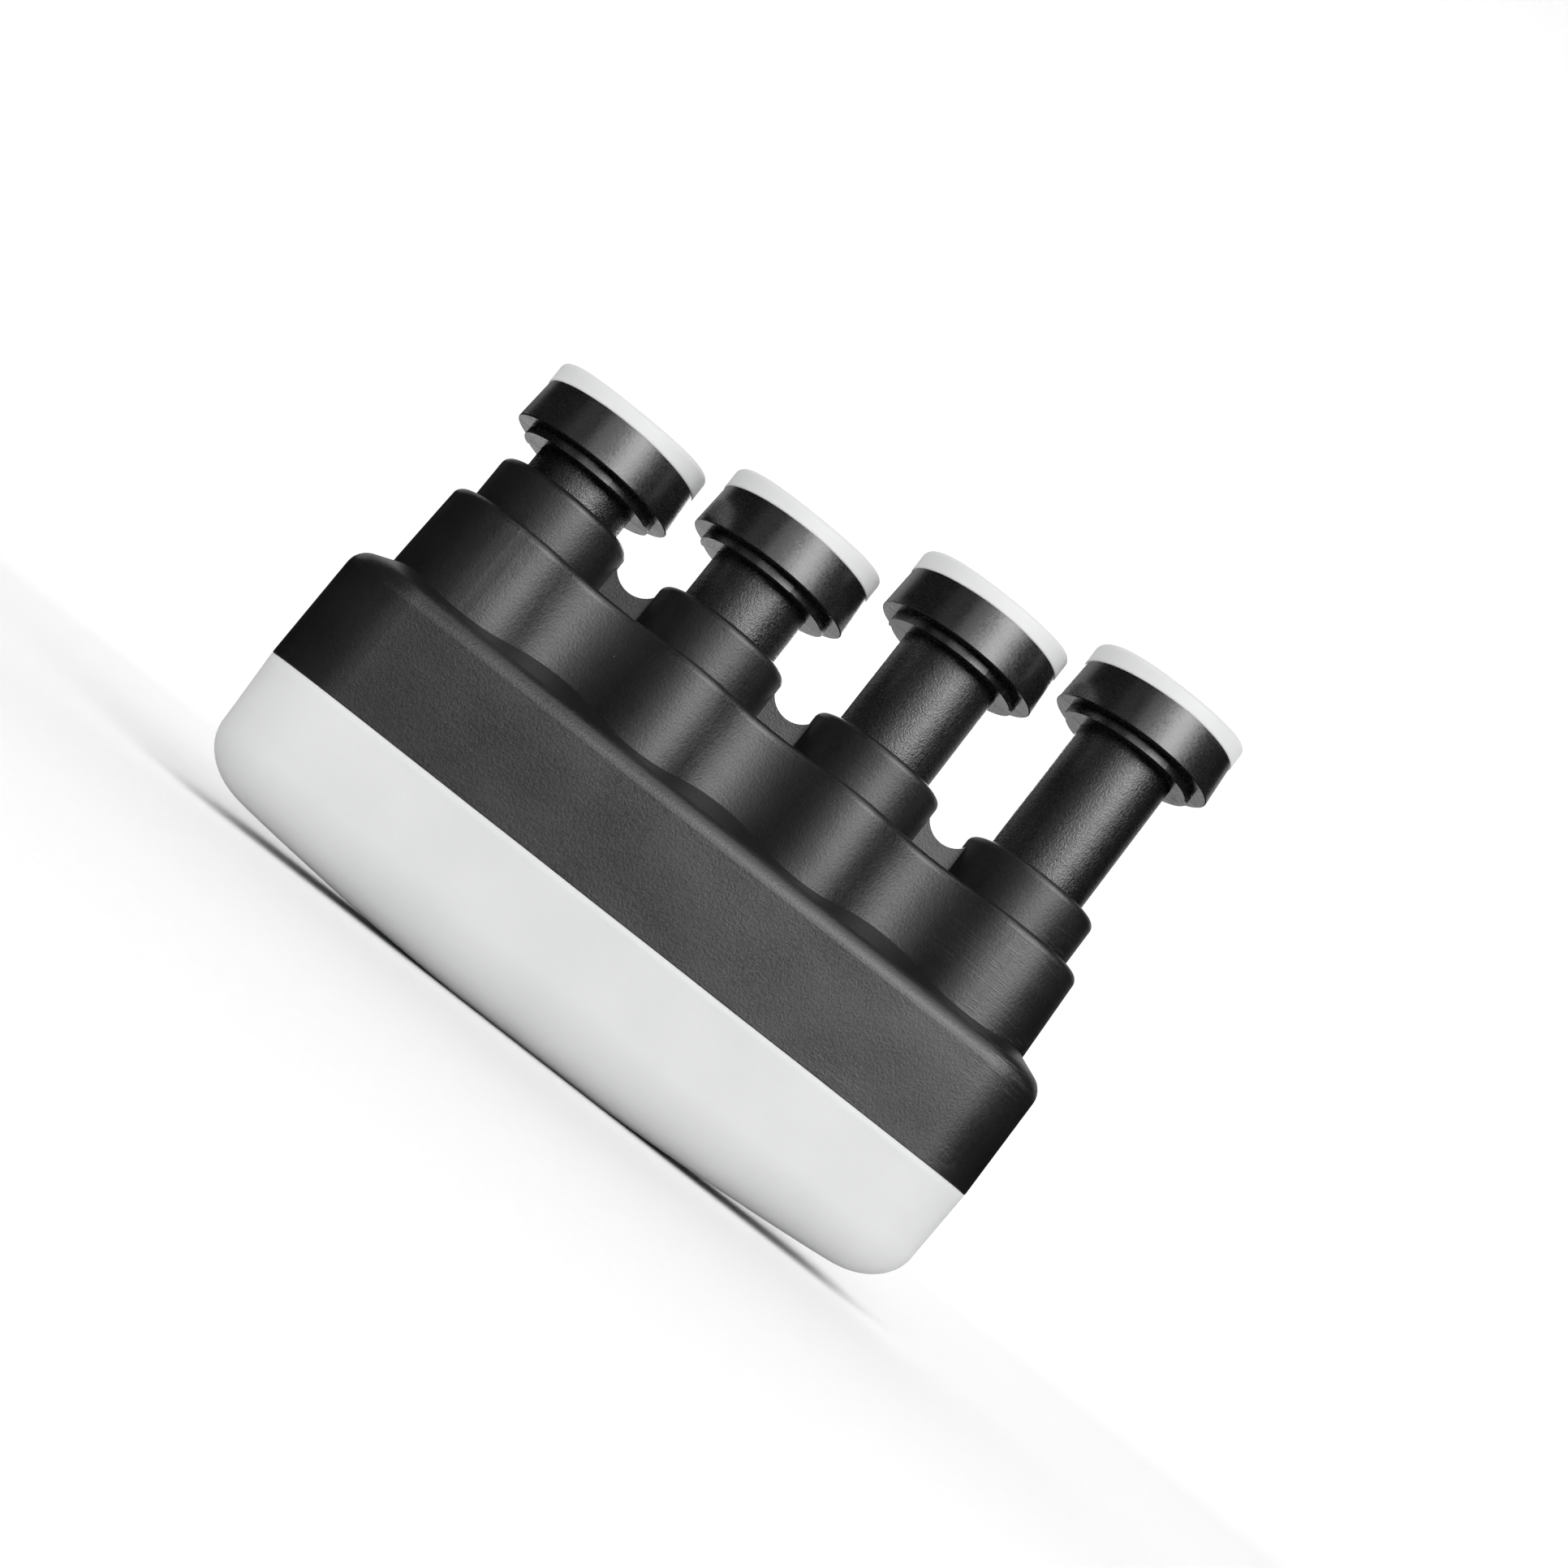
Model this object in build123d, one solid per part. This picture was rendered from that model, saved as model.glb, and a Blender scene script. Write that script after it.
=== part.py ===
from build123d import *
import os
from math import asin, cos, sin, sqrt

os.makedirs("parts", exist_ok=True)

# Four-key finger exerciser. X runs along the row of keys, Z is the way the keys travel
# and -Y is the front. The origin is the middle of the palm rest's flat underside.
# All sizes are in millimetres.

# Body outline
LENGTH = 87.0
DEPTH = 25.0
CORNER_R = 8.2
PARTING_Z = 15.2            # the palm rest meets the housing here
LEDGE_Z = 28.15             # outer edge of the sloping ledge
SHOULDER_Z = 39.8           # flat top of the scalloped shoulder
PARTING_EDGE = 0.08         # eased edges that make the fine groove at the parting line

# Palm rest
REST_BOTTOM_R = 7.4         # round of the lower edge
REST_DRAFT = 3.5            # lean of the sides, in degrees
REST_CROWN_R = 305.0        # lengthwise bow of the underside
REST_FLAT_SAG = 0.15        # depth of the flat on the bowed underside
REST_SKIN = 2.6             # thickness of the soft skin
CORE_WALL = 2.0             # wall of the stiff core inside the skin
CORE_RIB_BITE = 1.0         # its ribs reach this far into that wall

# Assembly
MOULD_GAP = 0.05            # clearance between parts that are assembled
LOOSE_GAP = 0.15            # clearance for screws and for parts that turn
OVERRUN = 1.0               # how far joined or cut shapes run into each other

# Ledge and shoulder
LEDGE_SLOPE_RUN = 8.0
LEDGE_SLOPE_RISE = 3.35
LEDGE_EDGE_R = 2.3
BULGE_R = 8.4               # round of the shoulder in front of each key
BULGE_SET = 1.3             # centres of those rounds, in front of and behind the keys
HOLLOW_R = 9.9              # hollow between two keys
END_SET = 1.3               # centres of the end rounds, beyond the outer keys
SHOULDER_DRAFT = 0.2        # outline grows at the foot and shrinks on top by this
SHOULDER_EDGE_R = 1.0

# Keys
KEY_COUNT = 4
PITCH = 20.5
EXTENSIONS = [3.9, 7.0, 12.9, 17.1]   # cap above its collar, as modelled
EXTENSION_MAX = 17.4

# Collars and the webs between them
COLLAR_R = 7.9
COLLAR_H = 5.6
COLLAR_EDGE_R = 0.9
WEB_THICKNESS = 2.2
WEB_TOP = 3.7               # web above the shoulder, beside the collars
WEB_NOTCH_R = 2.9
WEB_NOTCH_FLOOR = 2.4       # bottom of the notch above the shoulder

# Piston, with the running fit in the collar
PISTON_R = 5.75
RUNNING_CLEARANCE = 0.07
MOUTH_R = 6.2
MOUTH_DEPTH = 0.8
PISTON_BORE_R = 4.3
HEAD_WALL = 1.0             # closed head above the spring
FLANGE_R = 7.2
FLANGE_H = 2.0
FLANGE_STOP_GAP = 0.05      # flange under the chamber roof when fully out

# Piston neck and the bayonet that holds the cap
SEAT_H = 0.5                # piston shoulder above the cap's lower face
NECK_R = 4.4
EAR_R = 5.6
EAR_HALF_WIDTH = 2.1
EAR_Z = 2.0
NECK_TOP = 3.0
FLANGE_EDGE = 0.3

# Key cap
CAP_BASE_R = 9.55
CAP_TOP_R = 9.27
CAP_H = 4.7
CAP_EDGE = 0.12
BOSS_R = 7.7
BOSS_H = 1.0
LIP_R = 7.95
LIP_H = 0.8                 # up from the boss's lower face
LIP_ARC = 125.0
LIP_END = -72.0
LIP_ROOT = 0.5              # the lip starts this far inside the boss
WELD_MARK = 0.1             # width and depth of the mark across the cap's underside
PAD_SOCKET_R = 8.2

# Finger pad
PAD_R = 9.4
PAD_H = 1.85
PAD_EDGE_R = 0.7
PAD_PLUG_R = 8.1
PAD_HOLLOW_R = 56.0         # finger hollow, running from front to back

# Inside the housing
WALL = 2.2
ROOF = 2.4                  # over the spring chambers
CHAMBER_R = 7.6
TUBE_R = 9.3
RIB = 1.6
SKIRT_ROOF_Z = 26.2
PLATE_H = 3.0
PLATE_GAP = 0.1
POST_R = 2.5
POST_H = 10.0
POST_EDGE = 0.8
PEG_R = 1.4
PEG_H = 7.5
PEG_END_GAP = 0.3

# Springs
WIRE_R = 0.45
SPRING_R = 3.4
SPRING_TURNS = 14
SPRING_SEAT_GAP = 0.06

# Screws
SCREW_Y = 7.2
SCREW_R = 1.2
SCREW_HEAD_R = 2.2
SCREW_HEAD_H = 1.5
SCREW_LENGTH = 9.5          # from under the head
SCREW_TIP = 0.5
SCREW_HEAD_SINK = 0.1       # heads sit this far inside the plate
BOSS_PILLAR_R = 2.6
PILOT_Z = 26.9
CROSS_WIDTH = 0.6
CROSS_SPAN = 2.6
CROSS_DEPTH = 0.9

# Values that follow
HALF_PITCH = PITCH / 2
COLLAR_TOP = SHOULDER_Z + COLLAR_H
CHAMBER_TOP = SHOULDER_Z - ROOF
PLATE_TOP = PARTING_Z + PLATE_H
HEAD_TOP = PARTING_Z + SCREW_HEAD_SINK + SCREW_HEAD_H
FLANGE_DROP = COLLAR_TOP + EXTENSION_MAX - CHAMBER_TOP + FLANGE_STOP_GAP
KEY_X = [(i - (KEY_COUNT - 1) / 2) * PITCH for i in range(KEY_COUNT)]
GAP_X = [x + HALF_PITCH for x in KEY_X[:-1]]
SCREW_SPOTS = [(x, side * SCREW_Y) for x in GAP_X for side in (-1, 1)]


def disc(radius, low, high, x=0.0, y=0.0):
    """Upright cylinder between two heights."""
    return Pos(x, y, (low + high) / 2) * Cylinder(radius, high - low)


def block(size_x, size_y, low, high, x=0.0, y=0.0):
    """Upright box between two heights."""
    return Pos(x, y, (low + high) / 2) * Box(size_x, size_y, high - low)


def edges_at(solid, height):
    """Edges that lie wholly at one height."""
    return solid.edges().filter_by_position(Axis.Z, height - 0.01, height + 0.01)


def plan(inset):
    """The body's plan outline, drawn in by inset."""
    return RectangleRounded(LENGTH - 2 * inset, DEPTH - 2 * inset, CORNER_R - inset)


def rest_block(inset):
    """Solid of the palm rest's shape, drawn in by inset everywhere but on top."""
    bow_r = REST_CROWN_R - inset
    bow_z = REST_CROWN_R - REST_FLAT_SAG
    top = Pos(0, 0, PARTING_Z) * plan(inset)
    prism = extrude(top, PARTING_Z + OVERRUN, dir=(0, 0, -1), taper=REST_DRAFT)
    bow = Pos(0, 0, bow_z) * Rot(90, 0, 0) * Cylinder(bow_r, 2 * DEPTH)
    solid = prism & bow
    rim = solid.edges().filter_by(lambda e: e.center().Z < PARTING_Z / 2)
    rim = rim.filter_by(lambda e: e.bounding_box().max.Z < PARTING_Z / 2)
    solid = fillet(rim, REST_BOTTOM_R - inset)
    return solid & block(2 * LENGTH, 2 * DEPTH, inset, PARTING_Z)


def palm_rest():
    outer = rest_block(0)
    outer = chamfer(edges_at(outer, PARTING_Z), PARTING_EDGE)
    return outer - rest_block(REST_SKIN)


def palm_core():
    """Stiff ribbed tray inside the soft skin, with a peg under each spring post."""
    skin = REST_SKIN + MOULD_GAP
    shell = rest_block(skin) - rest_block(skin + CORE_WALL)
    ribs = block(LENGTH, RIB, 0, PARTING_Z)
    for x in GAP_X:
        ribs += block(RIB, DEPTH, 0, PARTING_Z, x)
    for x in KEY_X:
        ribs += disc(2 * PEG_R, 0, PARTING_Z, x)
    core = shell + (ribs & rest_block(skin + CORE_WALL - CORE_RIB_BITE))
    for x in KEY_X:
        core += disc(PEG_R, PARTING_Z - OVERRUN, PARTING_Z + PEG_H, x)
    return core


def scallop(grow):
    """Shoulder outline, grown outward: a round at each key, joined by hollows."""
    bulge_r = BULGE_R + grow
    centre_gap = BULGE_R + HOLLOW_R
    share = bulge_r / centre_gap
    hollow_y = BULGE_SET + sqrt(centre_gap**2 - HALF_PITCH**2)
    dx = HALF_PITCH * share
    dy = BULGE_SET + (hollow_y - BULGE_SET) * share
    valley = hollow_y - HOLLOW_R + grow
    front = BULGE_SET + bulge_r
    corner_x = KEY_X[-1] + END_SET
    end_x = corner_x + bulge_r
    diagonal = bulge_r * sqrt(0.5)
    outline = []
    for y in (-1, 1):
        for x in KEY_X[1:-1]:
            outline.append(ThreePointArc((x - dx, y * dy), (x, y * front), (x + dx, y * dy)))
        for x in GAP_X:
            start = (x - HALF_PITCH + dx, y * dy)
            end = (x + HALF_PITCH - dx, y * dy)
            outline.append(ThreePointArc(start, (x, y * valley), end))
        for x in (-1, 1):
            inner = (x * (KEY_X[-1] - dx), y * dy)
            crown = (x * KEY_X[-1], y * front)
            corner = (x * corner_x, y * front)
            turn = (x * (corner_x + diagonal), y * (BULGE_SET + diagonal))
            side = (x * end_x, y * BULGE_SET)
            half_angle = asin(HALF_PITCH / centre_gap) / 2
            middle_x = KEY_X[-1] - bulge_r * sin(half_angle)
            middle = (x * middle_x, y * (BULGE_SET + bulge_r * cos(half_angle)))
            outline.append(ThreePointArc(inner, middle, crown))
            outline.append(Line(crown, corner))
            outline.append(ThreePointArc(corner, turn, side))
    for x in (-end_x, end_x):
        outline.append(Line((x, -BULGE_SET), (x, BULGE_SET)))
    return make_face(outline)


def housing_outside():
    band = extrude(Pos(0, 0, PARTING_Z) * plan(0), LEDGE_Z - PARTING_Z)
    ledge_foot = Pos(0, 0, LEDGE_Z) * plan(0)
    ledge_head = Pos(0, 0, LEDGE_Z + LEDGE_SLOPE_RISE) * plan(LEDGE_SLOPE_RUN)
    body = band + loft([ledge_foot, ledge_head], ruled=True)
    body = fillet(edges_at(body, LEDGE_Z), LEDGE_EDGE_R)
    body = chamfer(edges_at(body, PARTING_Z), PARTING_EDGE)
    foot = Pos(0, 0, LEDGE_Z - OVERRUN) * scallop(SHOULDER_DRAFT)
    head = Pos(0, 0, SHOULDER_Z) * scallop(-SHOULDER_DRAFT)
    shoulder = loft([foot, head], ruled=True)
    shoulder = fillet(edges_at(shoulder, SHOULDER_Z), SHOULDER_EDGE_R)
    body += shoulder
    for x in GAP_X:
        web = block(PITCH, WEB_THICKNESS, SHOULDER_Z - OVERRUN, SHOULDER_Z + WEB_TOP, x)
        notch_z = SHOULDER_Z + WEB_NOTCH_FLOOR + WEB_NOTCH_R
        notch = Pos(x, 0, notch_z) * Rot(90, 0, 0) * Cylinder(WEB_NOTCH_R, DEPTH)
        body += web - notch
    for x in KEY_X:
        collar = disc(COLLAR_R, SHOULDER_Z - OVERRUN, COLLAR_TOP, x)
        body += fillet(edges_at(collar, COLLAR_TOP), COLLAR_EDGE_R)
    return body


def housing():
    """Moulded body: band, ledge, shoulder, collars and webs, hollow from below."""
    hollow = extrude(Pos(0, 0, PARTING_Z) * plan(WALL), SKIRT_ROOF_Z - PARTING_Z)
    kept = block(PITCH * (KEY_COUNT - 1), RIB, PLATE_TOP, SKIRT_ROOF_Z)
    for x in KEY_X:
        kept += disc(TUBE_R, PLATE_TOP, SKIRT_ROOF_Z, x)
    for x, y in SCREW_SPOTS:
        kept += disc(BOSS_PILLAR_R, PLATE_TOP, SKIRT_ROOF_Z, x, y)
        rib_y = (abs(y) + DEPTH / 2 - WALL / 2) / 2
        rib_length = DEPTH / 2 - WALL / 2 - abs(y)
        kept += block(RIB, rib_length, PLATE_TOP, SKIRT_ROOF_Z, x, rib_y if y > 0 else -rib_y)
    body = housing_outside() - (hollow - kept)
    for x in KEY_X:
        body -= disc(CHAMBER_R, PARTING_Z, CHAMBER_TOP, x)
        body -= disc(PISTON_R + RUNNING_CLEARANCE, PARTING_Z, COLLAR_TOP + OVERRUN, x)
        body -= disc(MOUTH_R, COLLAR_TOP - MOUTH_DEPTH, COLLAR_TOP + OVERRUN, x)
    for x, y in SCREW_SPOTS:
        body -= disc(SCREW_R + MOULD_GAP, PLATE_TOP, PILOT_Z, x, y)
    return body


def base_plate():
    """Plate that closes the chambers, with a hollow post inside each spring."""
    body = extrude(Pos(0, 0, PARTING_Z) * plan(WALL + PLATE_GAP), PLATE_H)
    for x in KEY_X:
        post = disc(POST_R, PLATE_TOP - OVERRUN, PLATE_TOP + POST_H, x)
        body += chamfer(edges_at(post, PLATE_TOP + POST_H), POST_EDGE)
    for x in KEY_X:
        body -= disc(PEG_R + MOULD_GAP, PARTING_Z, PARTING_Z + PEG_H + PEG_END_GAP, x)
    for x, y in SCREW_SPOTS:
        body -= disc(SCREW_R + LOOSE_GAP, PARTING_Z, PLATE_TOP, x, y)
        body -= disc(SCREW_HEAD_R + LOOSE_GAP, PARTING_Z, HEAD_TOP, x, y)
    return body


def housing_screw(x, y):
    """Pan-head screw with a cross recess, driven up from the parting face."""
    head_low = HEAD_TOP - SCREW_HEAD_H
    body = disc(SCREW_HEAD_R, head_low, HEAD_TOP, x, y)
    body += disc(SCREW_R, HEAD_TOP, HEAD_TOP + SCREW_LENGTH, x, y)
    body = chamfer(edges_at(body, HEAD_TOP + SCREW_LENGTH), SCREW_TIP)
    body -= block(CROSS_SPAN, CROSS_WIDTH, head_low, head_low + CROSS_DEPTH, x, y)
    body -= block(CROSS_WIDTH, CROSS_SPAN, head_low, head_low + CROSS_DEPTH, x, y)
    return body


def piston(x, seat_z):
    """Hollow plunger with a stop flange; seat_z is the cap's lower face."""
    foot = seat_z - FLANGE_DROP - FLANGE_H
    flange = disc(FLANGE_R, foot, foot + FLANGE_H, x)
    body = chamfer(edges_at(flange, foot), FLANGE_EDGE)
    body += disc(PISTON_R, foot, seat_z + SEAT_H, x)
    body += disc(NECK_R, seat_z, seat_z + NECK_TOP, x)
    ears = disc(EAR_R, seat_z + EAR_Z, seat_z + NECK_TOP, x)
    body += ears & block(2 * EAR_R, 2 * EAR_HALF_WIDTH, seat_z, seat_z + NECK_TOP, x)
    body -= disc(PISTON_BORE_R, foot, seat_z - HEAD_WALL, x)
    return body


def cap_lip(x, seat_z, end_angle):
    """Raised rib on the boss's side over part of a turn."""
    low = seat_z - BOSS_H
    sector = Pos(x, 0, low) * Rot(0, 0, end_angle - LIP_ARC) * Cylinder(
        LIP_R, LIP_H, arc_size=LIP_ARC, align=(Align.NONE, Align.NONE, Align.MIN))
    return sector - disc(BOSS_R - LIP_ROOT, low, low + LIP_H, x)


def key_cap(x, seat_z):
    """Ring cap with a boss under it; it locks on the piston neck with a quarter turn."""
    top = seat_z + CAP_H
    ring = Pos(x, 0, seat_z + CAP_H / 2) * Cone(CAP_BASE_R, CAP_TOP_R, CAP_H)
    ring = fillet(edges_at(ring, seat_z), CAP_EDGE)
    boss = disc(BOSS_R, seat_z - BOSS_H, seat_z + OVERRUN, x)
    body = ring + fillet(edges_at(boss, seat_z - BOSS_H), CAP_EDGE)
    body += cap_lip(x, seat_z, LIP_END)
    body += cap_lip(x, seat_z, LIP_END + 180)
    for low, reach in ((seat_z, CAP_BASE_R + OVERRUN), (seat_z - BOSS_H, BOSS_R - LIP_ROOT)):
        body -= block(2 * reach, WELD_MARK, low - WELD_MARK / 2, low + WELD_MARK / 2, x)
    body -= disc(PISTON_R + MOULD_GAP, seat_z - BOSS_H, seat_z + SEAT_H, x)
    body -= disc(NECK_R + MOULD_GAP, seat_z, top, x)
    slot = disc(EAR_R + LOOSE_GAP, seat_z, seat_z + EAR_Z, x)
    slot_width = 2 * (EAR_HALF_WIDTH + LOOSE_GAP)
    body -= slot & block(slot_width, 2 * DEPTH, seat_z, seat_z + EAR_Z, x)
    body -= disc(EAR_R + LOOSE_GAP, seat_z + EAR_Z, top, x)
    body -= disc(PAD_SOCKET_R, seat_z + NECK_TOP, top, x)
    return body


def finger_pad(x, seat_z):
    """Soft pad with a finger hollow from front to back, and a plug that sits in the cap."""
    low = seat_z + CAP_H
    hollow_z = low + PAD_H + PAD_HOLLOW_R
    pad = disc(PAD_R, low, low + 2 * PAD_H, x)
    pad -= Pos(x, 0, hollow_z) * Rot(90, 0, 0) * Cylinder(PAD_HOLLOW_R, 3 * PAD_R)
    rim = pad.edges().filter_by(lambda e: e.bounding_box().min.Z > low + PAD_H / 2)
    pad = fillet(rim, PAD_EDGE_R)
    return pad + disc(PAD_PLUG_R, seat_z + NECK_TOP + MOULD_GAP, low, x)


def spring(x, seat_z):
    """Compression spring from the base plate to the piston's closed head."""
    low = PLATE_TOP + SPRING_SEAT_GAP + WIRE_R
    high = seat_z - HEAD_WALL - SPRING_SEAT_GAP - WIRE_R
    height = high - low
    path = Helix(height / SPRING_TURNS, height, SPRING_R)
    section = Plane(path @ 0, z_dir=path % 0) * Circle(WIRE_R)
    return Pos(x, 0, low) * sweep(section, path, is_frenet=True)


def write(solid, name):
    export_step(solid, f"parts/{name}.step")


write(housing(), "housing")
write(palm_rest(), "palm_rest")
write(palm_core(), "palm_core")
write(base_plate(), "base_plate")
write(Compound([housing_screw(x, y) for x, y in SCREW_SPOTS]), "housing_screws")
for number, (key_x, extension) in enumerate(zip(KEY_X, EXTENSIONS), start=1):
    cap_z = COLLAR_TOP + extension
    write(piston(key_x, cap_z), f"piston_{number}")
    write(spring(key_x, cap_z), f"spring_{number}")
    write(key_cap(key_x, cap_z), f"key_cap_{number}")
    write(finger_pad(key_x, cap_z), f"finger_pad_{number}")
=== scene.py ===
import math
import random

import bmesh
import bpy
from mathutils import Matrix, Vector


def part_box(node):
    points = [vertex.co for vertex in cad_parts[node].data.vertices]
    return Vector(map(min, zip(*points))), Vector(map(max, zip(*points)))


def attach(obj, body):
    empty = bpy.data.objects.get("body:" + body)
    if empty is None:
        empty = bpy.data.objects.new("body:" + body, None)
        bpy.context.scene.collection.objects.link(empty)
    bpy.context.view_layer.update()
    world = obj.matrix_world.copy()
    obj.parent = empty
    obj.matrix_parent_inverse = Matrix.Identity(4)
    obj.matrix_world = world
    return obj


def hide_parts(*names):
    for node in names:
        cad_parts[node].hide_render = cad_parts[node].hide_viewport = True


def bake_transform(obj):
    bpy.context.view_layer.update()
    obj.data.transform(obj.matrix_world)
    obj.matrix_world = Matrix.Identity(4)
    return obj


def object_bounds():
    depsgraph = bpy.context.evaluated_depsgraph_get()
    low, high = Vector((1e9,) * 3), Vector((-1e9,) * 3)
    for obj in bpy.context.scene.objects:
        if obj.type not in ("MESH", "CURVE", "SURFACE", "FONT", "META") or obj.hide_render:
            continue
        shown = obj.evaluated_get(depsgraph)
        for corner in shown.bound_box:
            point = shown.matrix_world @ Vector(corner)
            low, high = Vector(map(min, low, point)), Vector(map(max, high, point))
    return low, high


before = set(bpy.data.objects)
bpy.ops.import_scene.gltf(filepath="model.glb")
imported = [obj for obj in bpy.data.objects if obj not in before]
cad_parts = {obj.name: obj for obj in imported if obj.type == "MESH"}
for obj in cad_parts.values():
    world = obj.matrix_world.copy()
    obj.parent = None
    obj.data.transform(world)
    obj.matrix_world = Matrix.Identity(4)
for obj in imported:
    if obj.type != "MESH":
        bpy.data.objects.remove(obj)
cad_low, cad_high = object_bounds()
MM = 0.001
KEYS = (1, 2, 3, 4)
FLOOR_R = 0.6
COVE_R = 0.5
WALL_TOP = 1.3
# Painted glow of the paper: none inside GLOW_START, rising to GLOW at the floor's edge.
GLOW_START = 0.22
GLOW = 0.28


# ---------------------------------------------------------------- node helpers

def new_material(name):
    """A new node material, with its node tree and its Principled shader."""
    material = bpy.data.materials.new(name)
    material.use_nodes = True
    shader = next(node for node in material.node_tree.nodes if node.type == "BSDF_PRINCIPLED")
    return material, material.node_tree, shader


def link(tree, source, target):
    tree.links.new(source, target)


def math_node(tree, operation, first, second, clamp=False):
    """Math node of two inputs, each a socket or a number."""
    node = tree.nodes.new("ShaderNodeMath")
    node.operation = operation
    node.use_clamp = clamp
    for socket, value in zip(node.inputs, (first, second)):
        if isinstance(value, (int, float)):
            socket.default_value = value
        else:
            link(tree, value, socket)
    return node.outputs[0]


def stretched(tree, scale):
    """Object coordinates, in metres, scaled per axis."""
    coords = tree.nodes.new("ShaderNodeTexCoord")
    mapping = tree.nodes.new("ShaderNodeMapping")
    mapping.inputs["Scale"].default_value = scale
    link(tree, coords.outputs["Object"], mapping.inputs["Vector"])
    return mapping.outputs["Vector"]


def noise(tree, scale, detail=2.0, roughness=0.5):
    """Noise whose features are about one unit over scale, on stretched coordinates."""
    node = tree.nodes.new("ShaderNodeTexNoise")
    node.inputs["Scale"].default_value = 1.0
    node.inputs["Detail"].default_value = detail
    node.inputs["Roughness"].default_value = roughness
    link(tree, stretched(tree, scale), node.inputs["Vector"])
    return node.outputs["Fac"]


def ramp(tree, value, low, high, start=0.0, end=1.0):
    """Value from low to high mapped, clamped, to start to end."""
    node = tree.nodes.new("ShaderNodeMapRange")
    node.clamp = True
    node.inputs["From Min"].default_value = low
    node.inputs["From Max"].default_value = high
    node.inputs["To Min"].default_value = start
    node.inputs["To Max"].default_value = end
    link(tree, value, node.inputs["Value"])
    return node.outputs["Result"]


def colour_mix(tree, factor, first, second):
    """Mix of two colours, each a socket or three numbers."""
    node = tree.nodes.new("ShaderNodeMix")
    node.data_type = "RGBA"
    link(tree, factor, node.inputs["Factor"])
    for socket, value in ((node.inputs[6], first), (node.inputs[7], second)):
        if isinstance(value, tuple):
            socket.default_value = (*value, 1.0)
        else:
            link(tree, value, socket)
    return node.outputs[2]


def specks(tree, cell, radius, share):
    """Small round specks: 1 inside a speck, in a share of the cells."""
    node = tree.nodes.new("ShaderNodeTexVoronoi")
    node.inputs["Scale"].default_value = 1.0
    link(tree, stretched(tree, (1 / cell, 1 / cell, 1 / cell)), node.inputs["Vector"])
    inside = ramp(tree, node.outputs["Distance"], radius / cell, 0.6 * radius / cell)
    parts = tree.nodes.new("ShaderNodeSeparateColor")
    link(tree, node.outputs["Color"], parts.inputs["Color"])
    chosen = math_node(tree, "LESS_THAN", parts.outputs[0], share)
    return math_node(tree, "MULTIPLY", inside, chosen)


def bump(tree, shader, height, distance):
    """Adds a bump, in metres, on top of any that the shader has already."""
    node = tree.nodes.new("ShaderNodeBump")
    node.inputs["Distance"].default_value = distance
    link(tree, height, node.inputs["Height"])
    for earlier in list(shader.inputs["Normal"].links):
        link(tree, earlier.from_socket, node.inputs["Normal"])
    link(tree, node.outputs["Normal"], shader.inputs["Normal"])


# ---------------------------------------------------------------- materials

def end_wear(tree):
    """Little wear over most of the length, rising towards the key 4 end."""
    coords = tree.nodes.new("ShaderNodeTexCoord")
    parts = tree.nodes.new("ShaderNodeSeparateXYZ")
    link(tree, coords.outputs["Object"], parts.inputs["Vector"])
    return ramp(tree, parts.outputs["X"], 0.45 * cad_high[0], 0.80 * cad_high[0], 0.20, 1.1)


def satin_black(name, roughness, sheen, waviness, grain_depth):
    """Moulded satin plastic: fine glinting grain, soft clouding, level scuffs and dust."""
    material, tree, shader = new_material(name)
    grain = noise(tree, (3700, 3700, 3700), detail=2.0, roughness=0.6)
    fine = noise(tree, (9500, 9500, 9500), detail=1.0)
    clouds = noise(tree, (110, 110, 150), detail=3.0, roughness=0.55)
    sink = noise(tree, (55, 55, 75), detail=1.0)
    streaks = noise(tree, (300, 300, 6500), detail=2.0, roughness=0.6)
    patches = noise(tree, (75, 75, 120), detail=2.0)
    dust = specks(tree, 1.6 * MM, 0.06 * MM, 0.3)
    scuffs = math_node(tree, "MULTIPLY", ramp(tree, streaks, 0.52, 0.68),
                       ramp(tree, patches, 0.42, 0.60))
    scuffs = math_node(tree, "MULTIPLY", scuffs, end_wear(tree))
    base = colour_mix(tree, clouds, (0.0052, 0.0053, 0.0055), (0.0085, 0.0085, 0.0088))
    base = colour_mix(tree, math_node(tree, "MULTIPLY", scuffs, 0.25), base, (0.06, 0.06, 0.06))
    base = colour_mix(tree, math_node(tree, "MULTIPLY", dust, 0.7), base, (0.22, 0.22, 0.21))
    link(tree, base, shader.inputs["Base Color"])
    rough = ramp(tree, clouds, 0.3, 0.7, roughness - 0.035, roughness + 0.035)
    rough = math_node(tree, "ADD", rough, ramp(tree, grain, 0.3, 0.7, -0.05, 0.05))
    rough = math_node(tree, "ADD", rough, math_node(tree, "MULTIPLY", scuffs, 0.10), clamp=True)
    link(tree, rough, shader.inputs["Roughness"])
    shader.inputs["Specular IOR Level"].default_value = sheen
    bump(tree, shader, sink, waviness)
    height = math_node(tree, "ADD", grain, math_node(tree, "MULTIPLY", fine, 0.35))
    height = math_node(tree, "ADD", height, math_node(tree, "MULTIPLY", scuffs, 0.5))
    height = math_node(tree, "ADD", height, math_node(tree, "MULTIPLY", dust, 2.0))
    bump(tree, shader, height, grain_depth)
    return material


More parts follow.
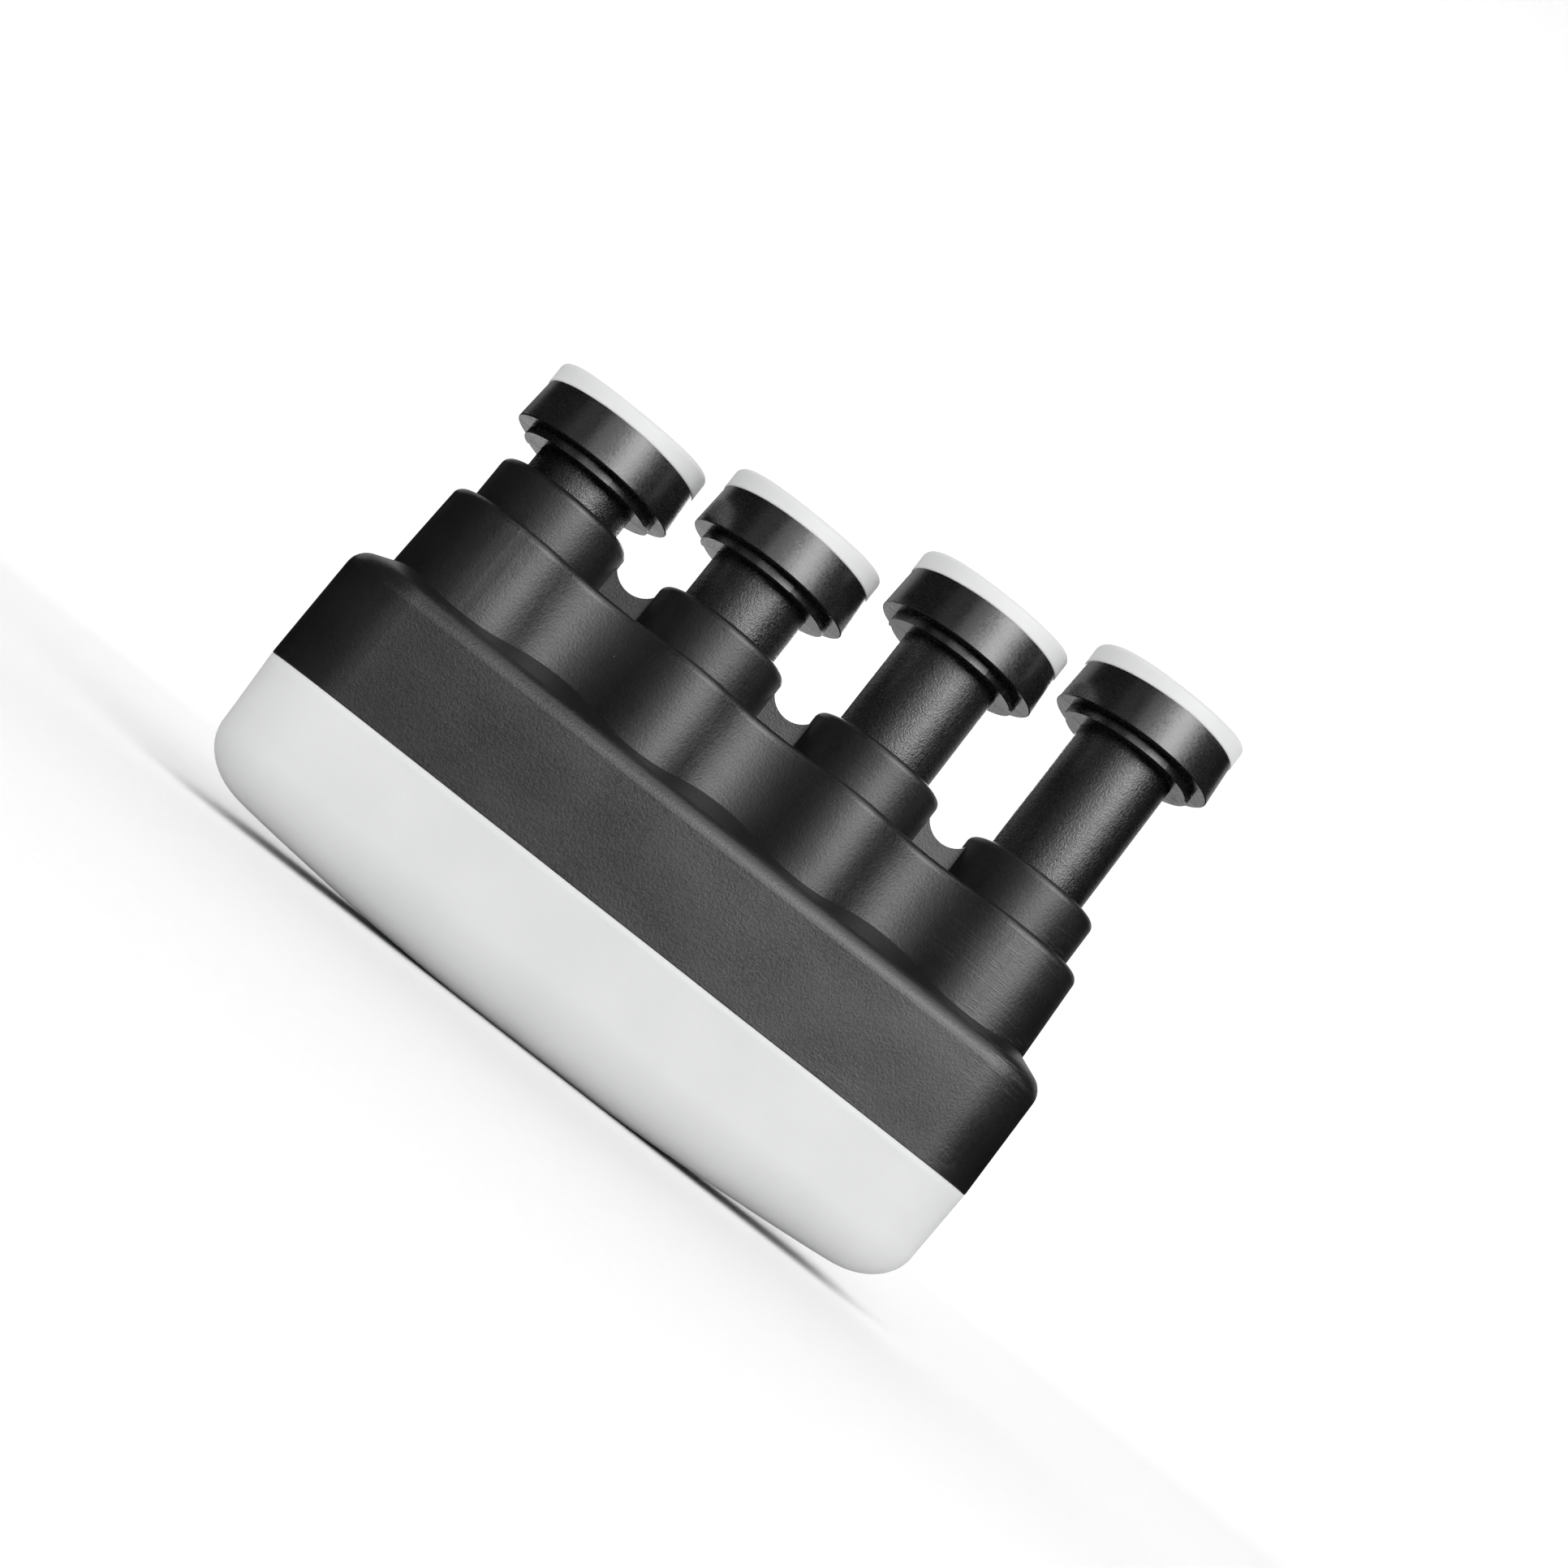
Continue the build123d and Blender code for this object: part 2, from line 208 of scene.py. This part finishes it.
def grained_black():
    """Piston plastic: a coarse spark-eroded grain that glitters in the highlights."""
    material, tree, shader = new_material("grained_black")
    grain = noise(tree, (5200, 5200, 5200), detail=2.0, roughness=0.6)
    fine = noise(tree, (8000, 8000, 8000), detail=1.0)
    clouds = noise(tree, (160, 160, 120), detail=2.0)
    base = colour_mix(tree, clouds, (0.0035, 0.0035, 0.0037), (0.0060, 0.0060, 0.0062))
    link(tree, base, shader.inputs["Base Color"])
    link(tree, ramp(tree, grain, 0.35, 0.65, 0.20, 0.32), shader.inputs["Roughness"])
    shader.inputs["IOR"].default_value = 1.55
    shader.inputs["Specular IOR Level"].default_value = 1.0
    height = math_node(tree, "ADD", ramp(tree, grain, 0.40, 0.68),
                       math_node(tree, "MULTIPLY", fine, 0.3))
    bump(tree, shader, height, 0.020 * MM)
    return material


def grey_silicone():
    """Matt light silicone: faint mottling, a fine matt skin and a few specks."""
    material, tree, shader = new_material("grey_silicone")
    clouds = noise(tree, (70, 70, 90), detail=3.0, roughness=0.5)
    skin = noise(tree, (5000, 5000, 5000), detail=2.0)
    dirt = specks(tree, 4.2 * MM, 0.09 * MM, 0.22)
    base = colour_mix(tree, ramp(tree, clouds, 0.35, 0.65),
                      (0.585, 0.588, 0.592), (0.615, 0.617, 0.62))
    base = colour_mix(tree, math_node(tree, "MULTIPLY", dirt, 0.35), base, (0.32, 0.31, 0.30))
    link(tree, base, shader.inputs["Base Color"])
    link(tree, ramp(tree, clouds, 0.3, 0.7, 0.52, 0.60), shader.inputs["Roughness"])
    shader.inputs["Specular IOR Level"].default_value = 0.15
    bump(tree, shader, skin, 0.008 * MM)
    return material


def inner_black():
    """Plain moulded plastic of the parts inside, with a light mould texture."""
    material, tree, shader = new_material("inner_black")
    clouds = noise(tree, (220, 220, 220), detail=3.0)
    grain = noise(tree, (6000, 6000, 6000), detail=2.0)
    base = colour_mix(tree, clouds, (0.026, 0.026, 0.028), (0.040, 0.040, 0.042))
    link(tree, base, shader.inputs["Base Color"])
    link(tree, ramp(tree, clouds, 0.3, 0.7, 0.48, 0.60), shader.inputs["Roughness"])
    bump(tree, shader, grain, 0.010 * MM)
    return material


def drawn_steel(name, light, dark, streak_scale):
    """Bright metal with fine drawing marks and faint tarnish."""
    material, tree, shader = new_material(name)
    marks = noise(tree, streak_scale, detail=3.0, roughness=0.7)
    tarnish = noise(tree, (400, 400, 400), detail=3.0)
    base = colour_mix(tree, ramp(tree, tarnish, 0.35, 0.7), light, dark)
    link(tree, base, shader.inputs["Base Color"])
    shader.inputs["Metallic"].default_value = 1.0
    link(tree, ramp(tree, marks, 0.3, 0.7, 0.22, 0.38), shader.inputs["Roughness"])
    bump(tree, shader, marks, 0.004 * MM)
    return material


def pale_paper_painted_glow():
    """Matt studio paper with a barely visible tooth. It glows as painted light: none near the
    middle, rising to full at the floor's edge, and full over the backdrop.
    """
    material, tree, shader = new_material("pale_paper_painted_glow")
    tooth = noise(tree, (900, 900, 900), detail=3.0)
    base = colour_mix(tree, tooth, (0.86, 0.86, 0.86), (0.90, 0.90, 0.90))
    link(tree, base, shader.inputs["Base Color"])
    shader.inputs["Roughness"].default_value = 0.85
    shader.inputs["Specular IOR Level"].default_value = 0.2
    coords = tree.nodes.new("ShaderNodeTexCoord")
    distance = tree.nodes.new("ShaderNodeVectorMath")
    distance.operation = "LENGTH"
    link(tree, coords.outputs["Object"], distance.inputs[0])
    # Painted light: white emission rising from none at GLOW_START to GLOW at the floor's edge, so
    # the floor is darker near the middle.
    shader.inputs["Emission Color"].default_value = (1.0, 1.0, 1.0, 1.0)
    link(tree, ramp(tree, distance.outputs["Value"], GLOW_START, FLOOR_R, 0.0, GLOW),
         shader.inputs["Emission Strength"])
    return material


def paint_node(node, material):
    """Gives a CAD node's object one material."""
    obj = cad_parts[node]
    obj.data.materials.clear()
    obj.data.materials.append(material)


# ---------------------------------------------------------------- mesh helpers

def mesh_object(name, build, material):
    """An object from a function that fills a bmesh, smooth shaded."""
    shape = bmesh.new()
    build(shape)
    bmesh.ops.recalc_face_normals(shape, faces=shape.faces)
    for face in shape.faces:
        face.smooth = True
    mesh = bpy.data.meshes.new(name)
    shape.to_mesh(mesh)
    shape.free()
    obj = bpy.data.objects.new(name, mesh)
    bpy.context.scene.collection.objects.link(obj)
    obj.data.materials.append(material)
    return obj


def skin_rings(shape, rings, closed_ends=True):
    """Joins rings of equal length into a tube, with a face over each end."""
    made = [[shape.verts.new(point) for point in ring] for ring in rings]
    count = len(rings[0])
    for low, high in zip(made, made[1:]):
        for i in range(count):
            j = (i + 1) % count
            shape.faces.new((low[i], low[j], high[j], high[i]))
    if closed_ends:
        shape.faces.new(list(reversed(made[0])))
        shape.faces.new(made[-1])
    return made


# ---------------------------------------------------------------- palm rest

def rounded_plan(half_x, half_y, radius, straight_x=60, straight_y=10, corner=14):
    """Rounded rectangle as points, anticlockwise, the same count for every size."""
    points = []
    spans = (
        (1, 1, 0.0), (-1, 1, 90.0), (-1, -1, 180.0), (1, -1, 270.0),
    )
    for index, (sign_x, sign_y, start) in enumerate(spans):
        centre = Vector((sign_x * (half_x - radius), sign_y * (half_y - radius)))
        for step in range(corner):
            angle = math.radians(start + 90.0 * step / corner)
            points.append(centre + radius * Vector((math.cos(angle), math.sin(angle))))
        end_angle = math.radians(start + 90.0)
        leave = centre + radius * Vector((math.cos(end_angle), math.sin(end_angle)))
        next_x, next_y, next_start = spans[(index + 1) % 4]
        next_centre = Vector((next_x * (half_x - radius), next_y * (half_y - radius)))
        arrive = next_centre + radius * Vector((math.cos(end_angle), math.sin(end_angle)))
        count = straight_x if index % 2 == 0 else straight_y
        for step in range(count):
            points.append(leave.lerp(arrive, step / count))
    return points


PLAN_CORNER = 8.2 * MM
REST_ROUND = 7.4 * MM
REST_DRAFT = math.radians(3.5)
REST_CROWN = 305.0 * MM
REST_FLAT_SAG = 0.15 * MM
REST_SKIN = 2.6 * MM
REST_RIM_EASE = 0.10 * MM
SIDE_STEPS = 10
FOOT_STEPS = 16


def rest_rings(low, high, inset):
    """Rings of the palm rest from the rim, down the side, to the middle line underneath."""
    half = (high - low) / 2
    rim = high.z
    round_r = REST_ROUND - inset
    foot = round_r + inset
    rings = []

    def underside(x):
        return max(inset, x * x / (2 * REST_CROWN) - REST_FLAT_SAG + inset)

    def ring(side_inset, height, share):
        """share is 1 where the height is measured from the bowed underside."""
        shrink = min(side_inset + inset, half.y - 0.05 * MM)
        radius = max(PLAN_CORNER - shrink, 0.02 * MM)
        plan = rounded_plan(half.x - shrink, half.y - shrink, radius)
        return [Vector((point.x, point.y, share * underside(point.x) + height))
                for point in plan]

    for step in range(SIDE_STEPS):
        height = rim + (foot - rim) * (step / SIDE_STEPS)
        lean = (rim - height) * math.tan(REST_DRAFT)
        rings.append(ring(lean, height, 0.0))
    lean_foot = (rim - foot) * math.tan(REST_DRAFT)
    for step in range(FOOT_STEPS + 1):
        angle = math.pi / 2 * step / FOOT_STEPS
        inward = round_r * (1 - math.cos(angle))
        rise = round_r * (1 - math.sin(angle))
        blend = step / FOOT_STEPS
        rings.append(ring(lean_foot + inward, rise + (1 - blend) * inset, blend))
    reach = lean_foot + round_r
    left = half.y - inset - reach
    for step in range(1, 5):
        rings.append(ring(reach + left * step / 4.001, 0.0, 1.0))
    return rings


def build_palm_rest(material):
    """Soft cup over the core: outer skin, rim and inner wall in one closed shell."""
    low, high = (Vector(corner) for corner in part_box("palm_rest"))
    rng = random.Random(11)
    waves = [(rng.uniform(90, 700), rng.uniform(0, 6.3), rng.uniform(0.3, 1.0)) for _ in range(9)]
    outer = rest_rings(low, high, 0.0)
    inner = rest_rings(low, high, REST_SKIN)

    def ragged(x, y):
        """Slight unevenness of the moulded rim."""
        total = sum(a * math.sin(f * (x + 0.7 * y) + p) for f, p, a in waves)
        return 0.012 * MM * total

    def fill(shape):
        eased = [Vector((point.x, point.y, point.z - REST_RIM_EASE)) for point in outer[0]]
        lip = []
        for point, inside in zip(outer[0], inner[0]):
            inward = (inside - point).normalized() * REST_RIM_EASE
            lip.append(point + inward + Vector((0, 0, ragged(point.x, point.y) * 0.5)))
        skin_rings(shape, list(reversed(outer[1:])) + [eased, lip] + inner)

    obj = mesh_object("palm_rest_skin", fill, material)
    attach(obj, "body")
    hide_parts("palm_rest")


# ---------------------------------------------------------------- finger pads

PAD_H = 1.85 * MM
PAD_HOLLOW_R = 56.0 * MM
PAD_EDGE_R = 0.7 * MM
PAD_SEAT = 1.65 * MM
PLUG_INSET = 1.3 * MM
PAD_SEGMENTS = 160
EDGE_STEPS = 10
TOP_STEPS = 12
PAD_TIP_R = 0.02 * MM


def build_finger_pad(number, material):
    """Moulded pad: finger hollow from front to back, soft rim, and the plug in the cap."""
    low, high = (Vector(corner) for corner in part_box(f"finger_pad_{number}"))
    centre = (low + high) / 2
    pad_r = (high.x - low.x) / 2
    plug_r = pad_r - PLUG_INSET
    lip_z = low.z + PAD_SEAT
    rng = random.Random(40 + number)
    wobble = [(k, rng.uniform(0, 6.28), rng.uniform(0.2, 1.0)) for k in (2, 3, 5, 8)]

    def top_z(x):
        return lip_z + PAD_H + x * x / (2 * PAD_HOLLOW_R)

    def swell(angle):
        """Slight unevenness of the rim's foot, never below the cap's edge."""
        return max(0.0, 0.012 * MM * sum(a * math.sin(k * angle + p) for k, p, a in wobble))

    def ring(radius, height):
        """Ring whose height is a function of x and of the angle around the pad."""
        points = []
        for i in range(PAD_SEGMENTS):
            angle = 2 * math.pi * i / PAD_SEGMENTS
            x = radius * math.cos(angle)
            points.append(Vector((x, radius * math.sin(angle), height(x, angle))))
        return points

    plug = (
        (PAD_TIP_R, low.z), (plug_r - 0.3 * MM, low.z), (plug_r, low.z + 0.15 * MM),
        (plug_r, lip_z - 0.08 * MM),
    )
    foot = (
        (plug_r + 0.06 * MM, 0.0), (pad_r - 0.16 * MM, 0.0), (pad_r - 0.04 * MM, 0.04 * MM),
        (pad_r - 0.01 * MM, 0.16 * MM), (pad_r - 0.02 * MM, 0.40 * MM),
    )
    rings = []
    for radius, z in plug:
        rings.append(ring(radius, lambda x, angle: z))
    for radius, lift in foot:
        rings.append(ring(radius, lambda x, angle: lip_z + lift + swell(angle)))
    for step in range(EDGE_STEPS + 1):
        turn = math.pi / 2 * step / EDGE_STEPS
        radius = pad_r - PAD_EDGE_R + PAD_EDGE_R * math.cos(turn)
        drop = PAD_EDGE_R * (1 - math.sin(turn))
        rings.append(ring(radius, lambda x, angle: top_z(x) - drop))
    for step in range(1, TOP_STEPS + 1):
        radius = max((pad_r - PAD_EDGE_R) * (1 - step / TOP_STEPS), PAD_TIP_R)
        rings.append(ring(radius, lambda x, angle: top_z(x)))

    def fill(shape):
        skin_rings(shape, [[Vector((centre.x + p.x, centre.y + p.y, min(p.z, high.z)))
                            for p in points] for points in rings])

    obj = mesh_object(f"finger_pad_{number}_moulded", fill, material)
    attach(obj, f"key_{number}")
    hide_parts(f"finger_pad_{number}")


# ---------------------------------------------------------------- springs

WIRE_R = 0.45 * MM
WIRE_SIDES = 12
TURNS = 14
END_TURNS = 1.1
STEPS_PER_TURN = 40
END_SINK = 0.55


def build_spring(number, material):
    """Coil spring with closed, ground ends, from the base plate to the piston head."""
    low, high = (Vector(corner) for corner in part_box(f"spring_{number}"))
    centre = (low + high) / 2
    coil_r = (high.x - low.x) / 2 - WIRE_R
    bottom = low.z + END_SINK * WIRE_R
    top = high.z - END_SINK * WIRE_R
    closed_rise = 2 * WIRE_R * END_TURNS * 0.98
    count = TURNS * STEPS_PER_TURN
    up = Vector((0, 0, 1))

    def height(turn):
        """Closed turns at both ends, and open turns that spread evenly between them."""
        if turn < END_TURNS:
            return bottom + closed_rise * turn / END_TURNS
        if turn > TURNS - END_TURNS:
            return top - closed_rise * (TURNS - turn) / END_TURNS
        share = (turn - END_TURNS) / (TURNS - 2 * END_TURNS)
        eased = share + 0.12 / (2 * math.pi) * -math.sin(2 * math.pi * share) * 0.5
        return bottom + closed_rise + (top - bottom - 2 * closed_rise) * eased

    def fill(shape):
        rings = []
        for i in range(count + 1):
            turn = TURNS * i / count
            angle = 2 * math.pi * turn
            outward = Vector((math.cos(angle), math.sin(angle), 0))
            middle = Vector((centre.x, centre.y, height(turn))) + outward * coil_r
            ring = []
            for side in range(WIRE_SIDES):
                around = 2 * math.pi * side / WIRE_SIDES
                point = middle + WIRE_R * (math.cos(around) * outward + math.sin(around) * up)
                point.z = min(max(point.z, low.z), high.z)
                ring.append(point)
            rings.append(ring)
        skin_rings(shape, rings)

    obj = mesh_object(f"spring_{number}_coil", fill, material)
    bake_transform(obj)
    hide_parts(f"spring_{number}")


# ---------------------------------------------------------------- stage

STAGE_SEGMENTS = 96
COVE_STEPS = 12


def build_stage(material):
    """Pale round floor, and a backdrop that curves up from its edge all round."""
    cove = [(FLOOR_R + COVE_R * math.sin(t), COVE_R * (1 - math.cos(t)))
            for t in (math.radians(90.0 / COVE_STEPS * step) for step in range(COVE_STEPS + 1))]
    parts = {
        "studio_floor": [(0.001, 0.0), (0.1, 0.0), (0.25, 0.0), (FLOOR_R, 0.0)],
        "studio_backdrop": cove + [(FLOOR_R + COVE_R, WALL_TOP)],
    }
    turns = [2 * math.pi * i / STAGE_SEGMENTS for i in range(STAGE_SEGMENTS)]
    for name, profile in parts.items():
        rings = [[(ring_r * math.cos(t), ring_r * math.sin(t), z) for t in turns]
                 for ring_r, z in profile]
        stage = mesh_object(name, lambda shape: skin_rings(shape, rings, closed_ends=False),
                            material)
        stage.visible_glossy = False


STAGE_MIDDLE = (0, 0, 40 * MM)


def softbox(name, azimuth, elevation, distance, width, height, radiance,
            diffuse=True, glossy=True, target=STAGE_MIDDLE):
    """Rectangular area light, turned to the object; azimuth 0 is in front."""
    target = Vector(target)
    a, e = math.radians(azimuth), math.radians(elevation)
    away = Vector((math.sin(a) * math.cos(e), -math.cos(a) * math.cos(e), math.sin(e)))
    light = bpy.data.lights.new(name, "AREA")
    light.shape = "RECTANGLE"
    light.size = width
    light.size_y = height
    light.energy = radiance * math.pi * width * height
    lamp = bpy.data.objects.new(name, light)
    bpy.context.scene.collection.objects.link(lamp)
    lamp.location = target + away * distance
    lamp.rotation_mode = "QUATERNION"
    lamp.rotation_quaternion = (-away).to_track_quat("-Z", "Y")
    lamp.visible_camera = False
    lamp.visible_diffuse = diffuse
    lamp.visible_glossy = glossy


def build_lights():
    softbox("key_light", 25, 28, 0.75, 0.36, 0.50, 2.4)
    softbox("key_sheen", 25, 28, 0.75, 0.36, 0.50, 25.0, diffuse=False)
    softbox("front_fill", -14, 14, 0.80, 0.34, 0.34, 1.3)
    softbox("left_fill", -48, 14, 0.80, 0.30, 0.30, 0.3)
    softbox("top_light", 15, 72, 0.80, 0.50, 0.40, 2.0)
    softbox("back_left", -150, 30, 0.80, 0.50, 0.50, 0.6)
    softbox("back_right", 150, 25, 0.80, 0.40, 0.50, 0.6)
    softbox("back_sheen", 172, 20, 0.75, 0.26, 0.22, 7.0, diffuse=False)
    softbox("under_sheen", 180, -11, 0.30, 0.30, 0.10, 0.9, diffuse=False,
            target=(0, 0, 62 * MM))
    softbox("floor_wash", 0, 90, 1.00, 1.60, 1.60, 0.40, glossy=False)
    world = bpy.data.worlds.new("studio_world")
    bpy.context.scene.world = world
    world.use_nodes = True
    background = world.node_tree.nodes["Background"]
    background.inputs["Color"].default_value = (1.0, 1.0, 1.0, 1.0)
    background.inputs["Strength"].default_value = 0.10
    world.cycles_visibility.glossy = False
    bpy.context.scene.view_settings.view_transform = "Standard"


def build_camera():
    """Camera below the keys, looking up a little, rolled as a hand-held view."""
    data = bpy.data.cameras.new("photo_camera")
    camera = bpy.data.objects.new("photo_camera", data)
    bpy.context.scene.collection.objects.link(camera)
    data.sensor_width = 36.0
    data.lens = 47.18
    data.clip_start = 0.01
    data.clip_end = 20.0
    forward = Vector((0.07520, 0.98970, 0.12160)).normalized()
    level = Vector((0.99707, -0.07635, 0.00477))
    level = (level - level.dot(forward) * forward).normalized()
    upright = level.cross(forward)
    tilt = math.radians(37.8)
    right = math.cos(tilt) * level + math.sin(tilt) * upright
    up = math.cos(tilt) * upright - math.sin(tilt) * level
    turn = Matrix((right, up, -forward)).transposed()
    camera.location = (-0.01175, -0.20878, 0.01132)
    camera.rotation_mode = "QUATERNION"
    camera.rotation_quaternion = turn.to_quaternion()
    bpy.context.scene.camera = camera


# ---------------------------------------------------------------- assembly

build_camera()
build_lights()
build_stage(pale_paper_painted_glow())

body_black = satin_black("satin_black", 0.365, 0.5, 0.32 * MM, 0.024 * MM)
cap_black = satin_black("cap_black", 0.28, 0.95, 0.04 * MM, 0.010 * MM)
grained = grained_black()
silicone = grey_silicone()
inner = inner_black()
spring_steel = drawn_steel("spring_steel", (0.55, 0.55, 0.56), (0.38, 0.37, 0.36),
                           (2500, 2500, 2500))
screw_steel = drawn_steel("screw_steel", (0.62, 0.62, 0.64), (0.46, 0.46, 0.47),
                          (3000, 3000, 900))

paint_node("housing", body_black)
paint_node("base_plate", inner)
paint_node("palm_core", inner)
paint_node("housing_screws", screw_steel)
build_palm_rest(silicone)
for key in KEYS:
    paint_node(f"piston_{key}", grained)
    paint_node(f"key_cap_{key}", cap_black)
    build_finger_pad(key, silicone)
    build_spring(key, spring_steel)
